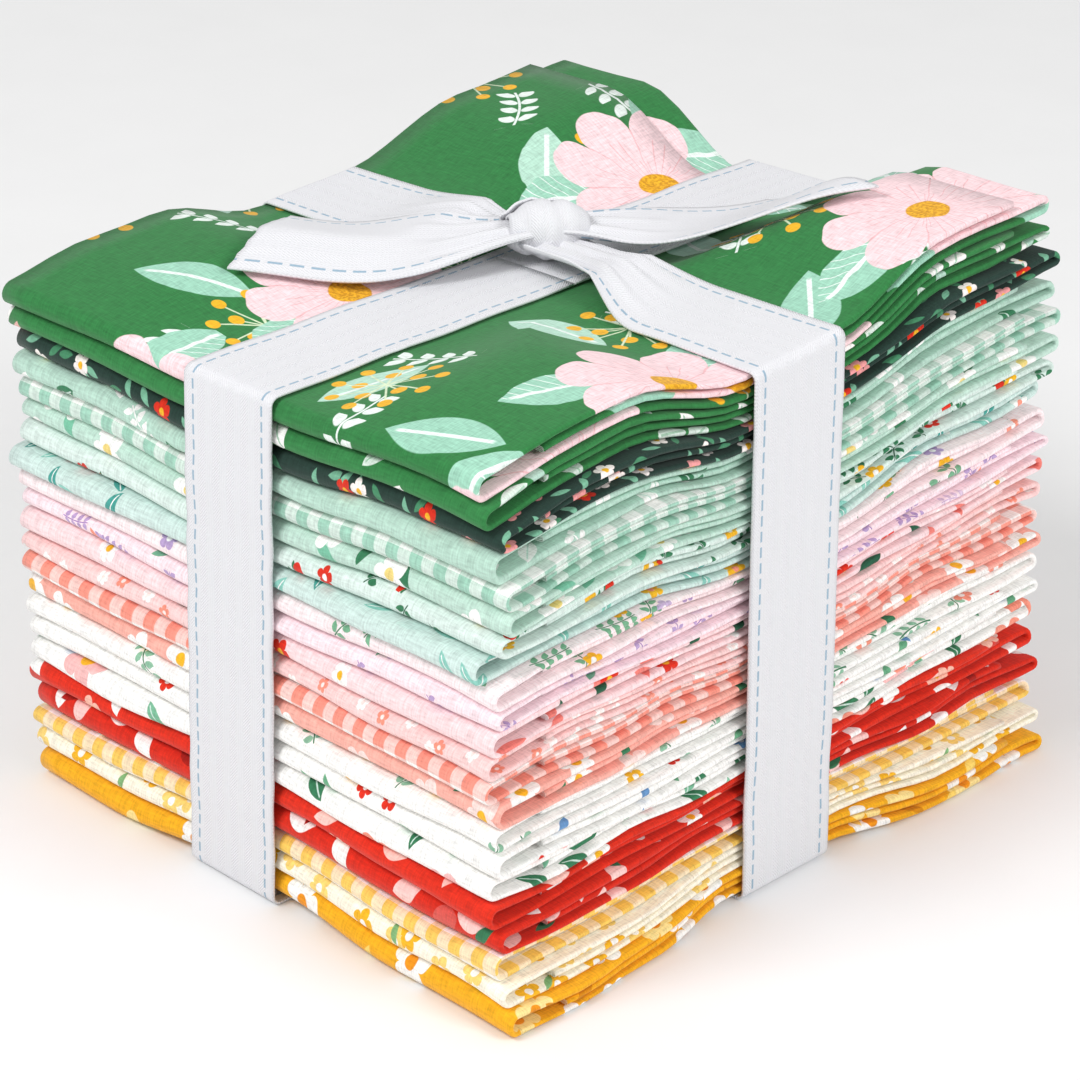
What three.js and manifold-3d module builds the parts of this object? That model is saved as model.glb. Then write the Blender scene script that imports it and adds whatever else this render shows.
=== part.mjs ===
// Fat quarter bundle: a stack of folded quilting cottons tied crosswise with one flat ribbon.
// Millimetres, +Z up. The origin lies under the stack, on the ribbon's underside where it crosses itself.
// The rounded folds face -Y, the folded strip edges face +X.
import * as THREE from 'three';
import { mergeVertices } from 'three/addons/utils/BufferGeometryUtils.js';
import Module from 'manifold-3d';

// Each cloth is a fat quarter, 22 by 18 inches, folded in four along X and then in three along Y.
// The three runs along Y aren't equal: the tucked one is the shortest.
const INCH = 25.4;
const CUT_LENGTH = 18 * INCH;
const FOLD_X = (22 * INCH) / 4;
const FOLD_Y = 160;
const STACK_HEIGHT = 123;
const CLOTH_GAP = 0.55;

// Section of one folded cloth, before it is pressed into its place in the stack.
const RUN_THICK = 1.45;
const RUN_GAP = 0.35;
const CLOTH_THICK = 3 * RUN_THICK + 2 * RUN_GAP;
const FLAP_SETBACK = 12;

const RIBBON = { width: 25.4, thick: 1, seat: 0.42, x: -2.5, y: 0.5, cornerRadius: 1.6, faceGap: 1.2 };
const DRIFT = 4;
const KNOT = { x: -4.5, y: 6, along: 8.5, across: 6.5, up: 6.6, angle: 52, sink: 0.8 };
const GATHER = { share: 0.48, lift: 4 };

// Free ends of the ribbon: heading in degrees from +X, length on the middle line, bend in plan,
// lift over the cloth at root and tip, roll from one side to the other, and slant of the cut.
const TAILS = [
  { heading: 233, length: 58, bend: -3, rootLift: 7, tipLift: 2.6, roll: -1.4, slant: 15 },
  { heading: 51, length: 58, bend: 3, rootLift: 7, tipLift: 3, roll: 1, slant: -19 },
];

// How the top departs from a level plane: it rises towards +X and +Y, and is drawn in under the ribbon.
const TOP = { riseX: 3.75, riseY: 3.25, twist: 1 };
const TROUGH = { alongX: 8, alongY: 10, alongYRise: 5, flat: 13, reach: 44, fade: 1.6 };
const GROOVE_LIFT = RIBBON.thick + RIBBON.seat + 0.15;
const PULL_IN = 0.8;
const WAVE = { x: 0.35, y: 0.45, stepX: 0.05, stepY: 0.043, turnX: 2.3, turnY: 1.7 };

// One row for each cloth, from the top down: name, ground colour, share of the height,
// how far its fold stands out towards -Y, and how far its edge stands out towards +X.
const CLOTHS = [
  ['green_floral', 0x2f7d43, 1.1, 2.4, -1.1],
  ['green_petal', 0x37834a, 1.0, 2.2, -0.1],
  ['forest_ditsy', 0x2b4038, 1.08, 0.6, 2.2],
  ['mint_leaf', 0xb5dcc8, 1.04, 1.4, 1.4],
  ['mint_gingham', 0xc4e5d6, 1.04, 0.2, 3.0],
  ['mint_blossom', 0xbfe2d2, 0.96, 0.0, 3.4],
  ['pale_mint_sprig', 0xd6ebe3, 1.0, 0.8, 2.0],
  ['aqua_leaf', 0xcfe8e0, 1.0, 3.6, -1.8],
  ['blush_leaf', 0xf3e3e8, 0.96, 1.4, 1.4],
  ['blush_sprig', 0xf3dfe6, 0.92, 1.2, 1.6],
  ['pink_leaf', 0xf5dbdf, 0.98, 1.8, 0.8],
  ['pink_dot', 0xf6d6d8, 0.92, 2.2, 0.2],
  ['coral_gingham', 0xf5b9ad, 0.96, 2.2, 0.0],
  ['coral_blossom', 0xf3b0a4, 0.96, 1.0, 1.6],
  ['white_sprig', 0xf4f2ef, 1.0, 1.6, 1.0],
  ['white_ditsy', 0xf5f3f1, 0.94, 1.0, 1.6],
  ['white_floral', 0xf3f1ee, 1.04, 2.0, 0.0],
  ['red_blossom', 0xd8301c, 0.98, 1.8, 0.4],
  ['red_petal', 0xd42a16, 1.14, 0.8, 2.2],
  ['yellow_gingham', 0xf6dd96, 0.96, 1.6, 1.2],
  ['yellow_ditsy', 0xf4e7c4, 0.92, 1.4, 4.0],
  ['yellow_floral', 0xf0ae1c, 1.1, 2.0, 5.4],
];
const RIBBON_COLOUR = 0xf4f4f6;
const SMALLEST_EDGE = 0.02;

const wasm = await Module();
wasm.setup();

const smooth = (from, to, v) => THREE.MathUtils.smoothstep(v, from, to);
const radians = THREE.MathUtils.degToRad;

// Height shares at the seams between the cloths, from 0 under the lowest to 1 over the highest.
function seamShares() {
  const total = CLOTHS.reduce((sum, row) => sum + row[2], 0);
  const shares = [0];
  for (const [, , share] of [...CLOTHS].reverse()) {
    shares.push(shares.at(-1) + share / total);
  }
  return shares;
}
const SEAMS = seamShares();
const TOP_SEAM = SEAMS.length - 1;

// 1 under a ribbon, falling to 0 at the trough's reach; d is the distance from the ribbon's middle line.
function underRibbon(d) {
  return 1 - smooth(TROUGH.flat, TROUGH.reach, Math.abs(d));
}

// Height of seam number i over the point x, y: tilted, and drawn in where the ribbon lies.
function seamHeight(i, x, y) {
  const share = SEAMS[i];
  const u = (2 * x) / FOLD_X;
  const v = (2 * y) / FOLD_Y;
  const nearX = underRibbon(y - RIBBON.y);
  const nearY = underRibbon(x - RIBBON.x);
  const level = share * (STACK_HEIGHT + TOP.riseX * u + TOP.riseY * v + TOP.twist * u * v);
  const alongY = TROUGH.alongY + TROUGH.alongYRise * v;
  const trough = share ** TROUGH.fade * Math.max(TROUGH.alongX * nearX, alongY * nearY);
  const groove = (1 - share) ** 6 * GROOVE_LIFT * Math.max(nearX, nearY);
  const inner = i > 0 && i < TOP_SEAM ? 1 : 0;
  const waveY = WAVE.y * Math.sin(WAVE.stepY * y + WAVE.turnY * i);
  const waveX = WAVE.x * Math.sin(WAVE.stepX * x + WAVE.turnX * i);
  return level - trough + groove + inner * (waveX + waveY);
}

const topHeight = (x, y) => seamHeight(TOP_SEAM, x, y);
const stationsAround = (middle) => [-TROUGH.reach, -TROUGH.flat, TROUGH.flat, TROUGH.reach].map((d) => middle + d);
const X_STATIONS = stationsAround(RIBBON.x);
const Y_STATIONS = stationsAround(RIBBON.y);

// The cloth's edges on the -X and +X sides. The -X edges lie nearly flush.
function farAndNear(sideOut) {
  return [-FOLD_X / 2 - 0.6 + 0.25 * (sideOut - 1), FOLD_X / 2 + sideOut];
}

// Points on an arc from one angle to the other, in degrees, without its two ends.
function arcBetween(cy, cz, radius, from, to, segments) {
  const points = [];
  for (let k = 1; k < segments; k++) {
    const a = radians(from + ((to - from) * k) / segments);
    points.push([cy + radius * Math.cos(a), cz + radius * Math.sin(a)]);
  }
  return points;
}

// Section of the folded strip as pairs of points, one on each side of the sheet, along its path:
// the top flap, the round fold at -Y, the lowest run, the fold at +Y and the run tucked in between.
function foldSection(front, back) {
  const roundOuter = CLOTH_THICK / 2;
  const roundInner = roundOuter - RUN_THICK;
  const tuckInner = RUN_GAP / 2;
  const tuckOuter = RUN_THICK + tuckInner;
  const noseY = front + roundOuter;
  const tuckY = back - tuckOuter;
  const tuckedLow = RUN_THICK + RUN_GAP;
  const tuckedHigh = tuckedLow + RUN_THICK;
  const flapLow = tuckedHigh + RUN_GAP;
  const flapY = back - FLAP_SETBACK;
  const roundLength = (Math.PI * (roundOuter + roundInner)) / 2;
  const tuckLength = (Math.PI * (tuckOuter + tuckInner)) / 2;
  const longRuns = tuckY - noseY + (flapY - noseY) + roundLength + tuckLength;
  const tipY = tuckY - (CUT_LENGTH - longRuns);
  const run = (outerZ, innerZ, from, to) => {
    const ordered = from < to ? Y_STATIONS : [...Y_STATIONS].reverse();
    return [from, ...ordered, to].map((y) => [[y, outerZ], [y, innerZ]]);
  };
  const fold = (cy, cz, outer, inner, from, to, segments) => {
    const insides = arcBetween(cy, cz, inner, from, to, segments);
    return arcBetween(cy, cz, outer, from, to, segments).map((point, k) => [point, insides[k]]);
  };
  return [
    ...run(CLOTH_THICK, flapLow, flapY, noseY),
    ...fold(noseY, roundOuter, roundOuter, roundInner, 90, 270, 4),
    ...run(0, RUN_THICK, noseY, tuckY),
    ...fold(tuckY, tuckOuter, tuckOuter, tuckInner, -90, 90, 3),
    ...run(tuckedHigh, tuckedLow, tuckY, tipY),
  ];
}

// Closed outline of a section of pairs, counter-clockwise, and the faces that fill it.
function outlineOf(section) {
  const count = section.length;
  const outline = [...section.map(([outer]) => outer), ...section.map(([, inner]) => inner).reverse()];
  const faces = [];
  for (let k = 0; k + 1 < count; k++) {
    const [inner, nextInner] = [2 * count - 1 - k, 2 * count - 2 - k];
    faces.push([k, k + 1, nextInner], [k, nextInner, inner]);
  }
  return { outline, faces };
}

// Moves every point of a geometry by a function that takes and gives a Vector3.
function reshape(geometry, move) {
  const places = geometry.getAttribute('position');
  const point = new THREE.Vector3();
  for (let i = 0; i < places.count; i++) {
    point.fromBufferAttribute(places, i);
    move(point);
    places.setXYZ(i, point.x, point.y, point.z);
  }
  geometry.computeVertexNormals();
  return geometry;
}

// Joins rings of corners into one closed surface, each ring running round its section, with both ends closed
// by the given end faces, or the last ring joined to the first. Every wall panel is split from low y to high y
// as the rings go on, so that stacked sheets bend alike.
function loftGeometry(rings, endFaces) {
  const count = rings[0].length;
  const spans = endFaces ? rings.length - 1 : rings.length;
  const faces = [];
  for (let k = 0; k < spans; k++) {
    const here = k * count;
    const there = ((k + 1) % rings.length) * count;
    for (let j = 0; j < count; j++) {
      const next = (j + 1) % count;
      const [a, b, c, d] = [here + j, here + next, there + next, there + j];
      faces.push(...(rings[k][next].y >= rings[k][j].y ? [a, b, c, a, c, d] : [a, b, d, b, c, d]));
    }
  }
  for (const [a, b, c] of endFaces ?? []) {
    const last = spans * count;
    faces.push(c, b, a, last + a, last + b, last + c);
  }
  const geometry = new THREE.BufferGeometry().setFromPoints(rings.flat());
  geometry.setIndex(faces);
  geometry.computeVertexNormals();
  return geometry;
}

// One folded cloth between seam i and seam i + 1. Where the ribbon presses on its edges, they are drawn in.
function clothGeometry(i, frontOut, sideOut) {
  const front = -FOLD_Y / 2 - frontOut;
  const back = FOLD_Y / 2 - 0.3 * frontOut;
  const [far, near] = farAndNear(sideOut);
  const { outline, faces } = outlineOf(foldSection(front, back));
  const lowGap = i > 0 ? CLOTH_GAP / 2 : 0;
  const highGap = i + 1 < TOP_SEAM ? CLOTH_GAP / 2 : 0;
  const place = (station, [along, up]) => {
    const atFront = along < Y_STATIONS[0] ? 1 : 0;
    const atNear = station === near ? 1 : 0;
    const x = station - atNear * PULL_IN * sideOut * underRibbon(along - RIBBON.y);
    const y = along + atFront * PULL_IN * frontOut * underRibbon(station - RIBBON.x);
    const low = seamHeight(i, x, y) + lowGap;
    const high = seamHeight(i + 1, x, y) - highGap;
    return new THREE.Vector3(x, y, THREE.MathUtils.lerp(low, high, up / CLOTH_THICK));
  };
  const rings = [far, ...X_STATIONS, near].map((x) => outline.map((point) => place(x, point)));
  return loftGeometry(rings, faces);
}

// The band along X is gathered up into the knot; d is the distance from the crossing.
function gatherAt(d) {
  const near = underRibbon(d);
  return { share: 1 - (1 - GATHER.share) * near, lift: GATHER.lift * near };
}

// A rectangle with round corners, counter-clockwise, its top edge broken at the given stations.
function bandOutline(left, right, bottom, top, radius, stations) {
  const corner = (cx, cz, from) => [
    [cx + radius * Math.cos(radians(from)), cz + radius * Math.sin(radians(from))],
    ...arcBetween(cx, cz, radius, from, from + 90, 3),
    [cx + radius * Math.cos(radians(from + 90)), cz + radius * Math.sin(radians(from + 90))],
  ];
  return [
    ...corner(left + radius, bottom + radius, 180),
    ...corner(right - radius, bottom + radius, 270),
    ...corner(right - radius, top - radius, 0),
    ...[...stations].reverse().map((s) => [s, top]),
    ...corner(left + radius, top - radius, 90),
  ];
}

// A closed band round the stack. place(s, w, z) gives the point at s along the band's plane and w across it,
// and form(s) says how wide the band is there on top, as a share, and how far it is lifted.
function bandGeometry(left, right, stations, form, place) {
  const { thick, cornerRadius, width } = RIBBON;
  const topInside = STACK_HEIGHT + RIBBON.seat;
  const lowCorner = thick + cornerRadius;
  const inside = bandOutline(left, right, thick, topInside, cornerRadius, stations);
  const outside = bandOutline(
    left - thick, right + thick, 0, topInside + thick, cornerRadius + thick, stations,
  );
  const point = ([s, z], side) => {
    const onTop = smooth(STACK_HEIGHT - cornerRadius, STACK_HEIGHT, z);
    const { share, lift } = form(s);
    const w = side * (width / 2) * THREE.MathUtils.lerp(1, share, onTop);
    const at = place(s, w, z);
    const rise = topHeight(at.x, at.y) - STACK_HEIGHT;
    const height = THREE.MathUtils.clamp((z - lowCorner) / (STACK_HEIGHT - lowCorner), 0, 1);
    return place(s, w, z + rise * height + lift * onTop);
  };
  const rings = inside.map((p, k) => [
    point(p, -1),
    point(p, 1),
    point(outside[k], 1),
    point(outside[k], -1),
  ]);
  return loftGeometry(rings, null);
}

// The wrapped knot: a low round lump with gathers that run over it from side to side.
function knotGeometry() {
  const lump = new THREE.SphereGeometry(1, 18, 12);
  lump.rotateX(Math.PI / 2);
  const floor = topHeight(KNOT.x, KNOT.y) + RIBBON.seat + KNOT.sink;
  const turn = radians(KNOT.angle);
  return reshape(lump, (p) => {
    const gathers = 1 + 0.05 * Math.cos(9 * p.x) * (1 - p.z ** 4);
    const waist = 1 - 0.14 * p.x ** 2;
    const along = KNOT.along * p.x;
    const across = KNOT.across * p.y * waist * gathers;
    const up = KNOT.up * p.z * waist * gathers;
    p.set(
      KNOT.x + along * Math.cos(turn) - across * Math.sin(turn),
      KNOT.y + along * Math.sin(turn) + across * Math.cos(turn),
      floor + KNOT.up + up,
    );
  });
}

// A free end of the ribbon, cut on the slant, that comes out of the knot and lies along the top.
function tailGeometry({ heading, length, bend, rootLift, tipLift, roll, slant }) {
  const steps = 8;
  const turn = radians(heading);
  const place = (d, side, up) => {
    const half = (RIBBON.width / 2) * (0.42 + 0.58 * smooth(0, 0.5, d));
    const along = length * d + side * slant * 0.5 * d ** 3;
    const across = side * half + bend * d ** 2;
    const x = KNOT.x + along * Math.cos(turn) - across * Math.sin(turn);
    const y = KNOT.y + along * Math.sin(turn) + across * Math.cos(turn);
    const lift = THREE.MathUtils.lerp(rootLift, tipLift + roll * side, smooth(0, 0.8, d));
    return new THREE.Vector3(x, y, topHeight(x, y) + RIBBON.seat + lift + up * RIBBON.thick);
  };
  const rings = [];
  for (let k = 0; k <= steps; k++) {
    const section = [[-1, 0], [0, 0], [1, 0], [1, 1], [0, 1], [-1, 1]];
    rings.push(section.map(([side, up]) => place(k / steps, side, up)));
  }
  return loftGeometry(rings, [[0, 1, 4], [0, 4, 5], [1, 2, 3], [1, 3, 4]]);
}

function toSolid(geometry) {
  const bare = geometry.index ? geometry.toNonIndexed() : geometry.clone();
  bare.deleteAttribute('normal');
  bare.deleteAttribute('uv');
  const merged = mergeVertices(bare, 1e-4);
  const vertProperties = merged.getAttribute('position').array;
  const triVerts = new Uint32Array(merged.index.array);
  return new wasm.Manifold(new wasm.Mesh({ numProp: 3, vertProperties, triVerts }));
}

function toGeometry(solid) {
  const { vertProperties, triVerts } = solid.getMesh();
  const geometry = new THREE.BufferGeometry();
  geometry.setAttribute('position', new THREE.BufferAttribute(vertProperties, 3));
  geometry.setIndex(new THREE.BufferAttribute(triVerts, 1));
  geometry.computeVertexNormals();
  return geometry;
}

// The whole ribbon is one cut length: two bands that cross under and over the stack, the knot and both ends.
function ribbonGeometry() {
  const { x, y, faceGap } = RIBBON;
  const standOut = (values) => (1 - PULL_IN) * Math.max(...values);
  const frontMost = standOut(CLOTHS.map((row) => row[3]));
  const sideMost = standOut(CLOTHS.map((row) => row[4]));
  const farMost = Math.min(...CLOTHS.map((row) => farAndNear(row[4])[0]));
  const drift = (s, z) => -DRIFT * (1 - z / STACK_HEIGHT) * THREE.MathUtils.clamp(0.5 - s / FOLD_Y, 0, 1);
  const alongY = bandGeometry(
    -FOLD_Y / 2 - frontMost - faceGap,
    FOLD_Y / 2 + faceGap,
    Y_STATIONS,
    () => ({ share: 1, lift: 0 }),
    (s, w, z) => new THREE.Vector3(x + w + drift(s, z), s, z),
  );
  const alongX = bandGeometry(
    farMost - faceGap,
    FOLD_X / 2 + sideMost + faceGap,
    X_STATIONS,
    (s) => gatherAt(s - x),
    (s, w, z) => new THREE.Vector3(s, y - w, z),
  );
  const pieces = [alongY, alongX, knotGeometry(), ...TAILS.map(tailGeometry)];
  const whole = pieces.map(toSolid).reduce((sum, piece) => sum.add(piece));
  return toGeometry(whole.simplify(SMALLEST_EDGE));
}

function cottonMaterial(color) {
  return new THREE.MeshStandardMaterial({ color, roughness: 0.9, metalness: 0 });
}

function buildStack() {
  const stack = new THREE.Group();
  CLOTHS.forEach(([name, colour, , frontOut, sideOut], fromTop) => {
    const i = TOP_SEAM - 1 - fromTop;
    const cloth = new THREE.Mesh(clothGeometry(i, frontOut, sideOut), cottonMaterial(colour));
    cloth.name = `cloth_${String(fromTop + 1).padStart(2, '0')}_${name}`;
    stack.add(cloth);
  });
  return stack;
}

const bundle = new THREE.Group();
bundle.add(buildStack());
const ribbon = new THREE.Mesh(
  ribbonGeometry(),
  new THREE.MeshStandardMaterial({ color: RIBBON_COLOUR, roughness: 0.75, metalness: 0 }),
);
ribbon.name = 'ribbon';
bundle.add(ribbon);

export default bundle;
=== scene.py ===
import math
import random

import bpy
import numpy as np
from mathutils import Matrix


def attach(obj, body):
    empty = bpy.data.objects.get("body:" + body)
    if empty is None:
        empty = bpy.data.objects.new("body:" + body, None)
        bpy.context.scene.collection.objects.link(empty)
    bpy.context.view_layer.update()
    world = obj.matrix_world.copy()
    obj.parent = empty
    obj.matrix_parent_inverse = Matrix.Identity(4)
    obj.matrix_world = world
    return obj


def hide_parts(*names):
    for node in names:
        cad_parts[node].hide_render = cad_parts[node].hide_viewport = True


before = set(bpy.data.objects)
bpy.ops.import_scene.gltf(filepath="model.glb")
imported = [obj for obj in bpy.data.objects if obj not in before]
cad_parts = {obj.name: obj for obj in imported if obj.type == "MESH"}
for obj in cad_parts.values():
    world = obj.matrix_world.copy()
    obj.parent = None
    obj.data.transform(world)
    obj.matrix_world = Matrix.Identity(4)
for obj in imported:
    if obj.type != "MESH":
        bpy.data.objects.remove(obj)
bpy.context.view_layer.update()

MM = 0.001
INCH = 25.4

# Sizes of the stack in millimetres. The cut, the folds and the height are those of the solids, and the
# layers and gaps are finer.
CUT_WIDTH = 22 * INCH
CUT_LENGTH = 18 * INCH
FOLD_X = CUT_WIDTH / 4
FOLD_Y = 160.0
STACK_HEIGHT = 123.0
CLOTH_GAP = 0.4
RUN_THICK = 1.3
RUN_GAP = 0.6
CLOTH_THICK = 3 * RUN_THICK + 2 * RUN_GAP
FLAP_SETBACK = 12.0
PLY_PITCH = 0.31
PLY_THICK = 0.25

RIBBON_X = -2.5
RIBBON_Y = 0.5
RIBBON_WIDTH = 25.4
RIBBON_THICK = 0.5
RIBBON_SEAT = 0.55
FACE_GAP = 0.75
CORNER_RADIUS = 1.9
DRIFT = 4.0
KNOT_X, KNOT_Y, KNOT_ANGLE = -4.5, 6.0, 52.0

# How the top departs from a level plane, and the troughs under the ribbon.
RISE_X, RISE_Y, TWIST = 3.75, 3.25, 1.0
TROUGH_X, TROUGH_Y, TROUGH_Y_RISE = 8.0, 10.0, 5.0
TROUGH_FLAT, TROUGH_REACH, TROUGH_FADE = 13.0, 44.0, 1.6
GROOVE_LIFT = 1.57
PULL_IN = 0.8
DROOP, DROOP_FROM, DROOP_TO = 2.4, -62.0, -84.0
GROOVE_POWER, DROOP_POWER = 6, 3

# Waves of the seams between cloths: size, more of it towards the +X edge, and length.
SEAM_WAVE, SEAM_EDGE_WAVE, SEAM_WAVE_LENGTH = 0.3, 0.35, 46
SEAM_EDGE_FROM, SEAM_EDGE_TO = 45, 68
SEAM_CALM = 0.7
TOP_WAVE, TOP_WAVE_LENGTH = 0.18, 38

# One row for each cloth, from the top down: name, share of the height, how far its fold stands out
# towards -Y, and how far its edge stands out towards +X.
CLOTHS = [
    ("green_floral", 1.1, 2.4, -1.1),
    ("green_petal", 1.0, 2.2, -0.1),
    ("forest_ditsy", 1.08, 0.6, 2.2),
    ("mint_leaf", 1.04, 1.4, 1.4),
    ("mint_gingham", 1.04, 0.2, 3.0),
    ("mint_blossom", 0.96, 0.0, 3.4),
    ("pale_mint_sprig", 1.0, 0.8, 2.0),
    ("aqua_leaf", 1.0, 3.6, -1.8),
    ("blush_leaf", 0.96, 1.4, 1.4),
    ("blush_sprig", 0.92, 1.2, 1.6),
    ("pink_leaf", 0.98, 1.8, 0.8),
    ("pink_dot", 0.92, 2.2, 0.2),
    ("coral_gingham", 0.96, 2.2, 0.0),
    ("coral_blossom", 0.96, 1.0, 1.6),
    ("white_sprig", 1.0, 1.6, 1.0),
    ("white_ditsy", 0.94, 1.0, 1.6),
    ("white_floral", 1.04, 2.0, 0.0),
    ("red_blossom", 0.98, 1.8, 0.4),
    ("red_petal", 1.14, 0.8, 2.2),
    ("yellow_gingham", 0.96, 1.6, 1.2),
    ("yellow_ditsy", 0.92, 1.4, 4.0),
    ("yellow_floral", 1.1, 2.0, 5.4),
]
TOP_SEAM = len(CLOTHS)
TOTAL_SHARE = sum(row[1] for row in CLOTHS)
SEAMS = [0.0]
for row in reversed(CLOTHS):
    SEAMS.append(SEAMS[-1] + row[1] / TOTAL_SHARE)


def smooth(low, high, value):
    t = np.clip((np.asarray(value, float) - low) / (high - low), 0, 1)
    return t * t * (3 - 2 * t)


def under_ribbon(distance):
    return 1 - smooth(TROUGH_FLAT, TROUGH_REACH, np.abs(distance))


def ripple(seed, x, y, size, wavelength):
    """Smooth seeded unevenness of about that size in millimetres."""
    draw = random.Random(seed)
    total = np.zeros(np.broadcast(x, y).shape)
    for _ in range(5):
        turn = draw.uniform(0, math.pi)
        step = 2 * math.pi / (wavelength * draw.uniform(0.6, 1.5))
        phase = draw.uniform(0, 2 * math.pi)
        total = total + np.sin(step * (x * math.cos(turn) + y * math.sin(turn)) + phase)
    return size * total / 2.2


def seam_height(i, x, y):
    """Height of seam number i over the point x, y."""
    share = SEAMS[i]
    u = 2 * x / FOLD_X
    v = 2 * y / FOLD_Y
    near_x = under_ribbon(y - RIBBON_Y)
    near_y = under_ribbon(x - RIBBON_X)
    level = share * (STACK_HEIGHT + RISE_X * u + RISE_Y * v + TWIST * u * v)
    along_y = TROUGH_Y + TROUGH_Y_RISE * v
    trough = share ** TROUGH_FADE * np.maximum(TROUGH_X * near_x, along_y * near_y)
    groove = (1 - share) ** GROOVE_POWER * GROOVE_LIFT * np.maximum(near_x, near_y)
    droop = share ** DROOP_POWER * DROOP * smooth(DROOP_FROM, DROOP_TO, y) * (1 - near_y)
    height = level - trough + groove - droop
    if 0 < i < TOP_SEAM:
        edge = smooth(SEAM_EDGE_FROM, SEAM_EDGE_TO, x)
        calm = 1 - SEAM_CALM * np.maximum(near_x, near_y)
        wave = SEAM_WAVE + SEAM_EDGE_WAVE * edge
        height = height + ripple(100 + i, x, y, wave, SEAM_WAVE_LENGTH) * calm
    if i == TOP_SEAM:
        height = height + ripple(7, x, y, TOP_WAVE, TOP_WAVE_LENGTH)
    return height


def top_height(x, y):
    return seam_height(TOP_SEAM, np.asarray(x, float), np.asarray(y, float))


def spread(*spans):
    """Stations through spans of (end, steps), from the first end on."""
    stations = [spans[0][0]]
    for end, steps in spans[1:]:
        stations += list(np.linspace(stations[-1], end, steps + 1)[1:])
    return np.array(stations)


# Stations that all the runs and plies share, closer together beside the ribbon.
X_STATIONS = spread((-64, 0), (RIBBON_X - TROUGH_REACH, 2), (RIBBON_X - TROUGH_FLAT, 6),
                    (RIBBON_X + TROUGH_FLAT, 2), (RIBBON_X + TROUGH_REACH, 6), (66, 4))
Y_STATIONS = spread((-76, 0), (RIBBON_Y - TROUGH_REACH, 5), (RIBBON_Y - TROUGH_FLAT, 6),
                    (RIBBON_Y + TROUGH_FLAT, 2), (RIBBON_Y + TROUGH_REACH, 6), (74, 4))


def fold_path(front, back):
    """Middle line of the folded strip: position along Y, height in the section, outward normal, length."""
    round_mid = CLOTH_THICK / 2 - RUN_THICK / 2
    tuck_inner = RUN_GAP / 2
    tuck_outer = RUN_THICK + tuck_inner
    tuck_mid = (tuck_inner + tuck_outer) / 2
    nose_y = front + CLOTH_THICK / 2
    tuck_y = back - tuck_outer
    flap_y = back - FLAP_SETBACK
    half = RUN_THICK / 2
    runs = (flap_y - nose_y) + (tuck_y - nose_y) + math.pi * (round_mid + tuck_mid)
    tip_y = tuck_y - (CUT_LENGTH - runs)
    rows = []
    for y in [flap_y, *(y for y in Y_STATIONS[::-1] if y < flap_y - 1)]:
        rows.append((y, CLOTH_THICK - half, 0, 1, 0))
    for a in np.radians(np.linspace(90, 270, 12))[:-1]:
        rows.append((nose_y + round_mid * np.cos(a), CLOTH_THICK / 2 + round_mid * np.sin(a),
                     np.cos(a), np.sin(a), 0))
    for y in [nose_y, *Y_STATIONS]:
        rows.append((y, half, 0, -1, 1))
    for a in np.radians(np.linspace(-90, 90, 7))[:-1]:
        rows.append((tuck_y + tuck_mid * np.cos(a), tuck_outer + tuck_mid * np.sin(a),
                     np.cos(a), np.sin(a), 1))
    for y in [tuck_y, *(y for y in Y_STATIONS[::-1] if y > tip_y + 1), tip_y]:
        rows.append((y, RUN_THICK + RUN_GAP + half, 0, 1, 2))
    path = np.array(rows)
    steps = np.hypot(np.diff(path[:, 0]), np.diff(path[:, 1]))
    length = np.concatenate([[0], np.cumsum(steps)])
    return path, length * CUT_LENGTH / length[-1]


def ply_path(far, near):
    """Path across the four plies: position along X, offset from the strip's middle, length."""
    outer, inner = 1.5 * PLY_PITCH, 0.5 * PLY_PITCH
    turn_x = near - outer
    rows = []
    for x in [far, *X_STATIONS]:
        rows.append((x, outer))
    for a in np.radians(np.linspace(90, -90, 9))[:-1]:
        rows.append((turn_x + outer * np.cos(a), outer * np.sin(a)))
    for x in [turn_x, *X_STATIONS[::-1]]:
        rows.append((x, -outer))
    for a in np.radians(np.linspace(-90, -270, 5)):
        rows.append((far + 2 + inner * np.cos(a), -PLY_PITCH + inner * np.sin(a)))
    for x in X_STATIONS:
        rows.append((x, -inner))
    for a in np.radians(np.linspace(-90, 90, 5)):
        rows.append((turn_x + inner * np.cos(a), inner * np.sin(a)))
    for x in [*X_STATIONS[::-1], far + 1.2]:
        rows.append((x, inner))
    path = np.array(rows)
    steps = np.hypot(np.diff(path[:, 0]), np.diff(path[:, 1]))
    length = np.concatenate([[0], np.cumsum(steps)])
    return path, length * CUT_WIDTH / length[-1]


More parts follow.
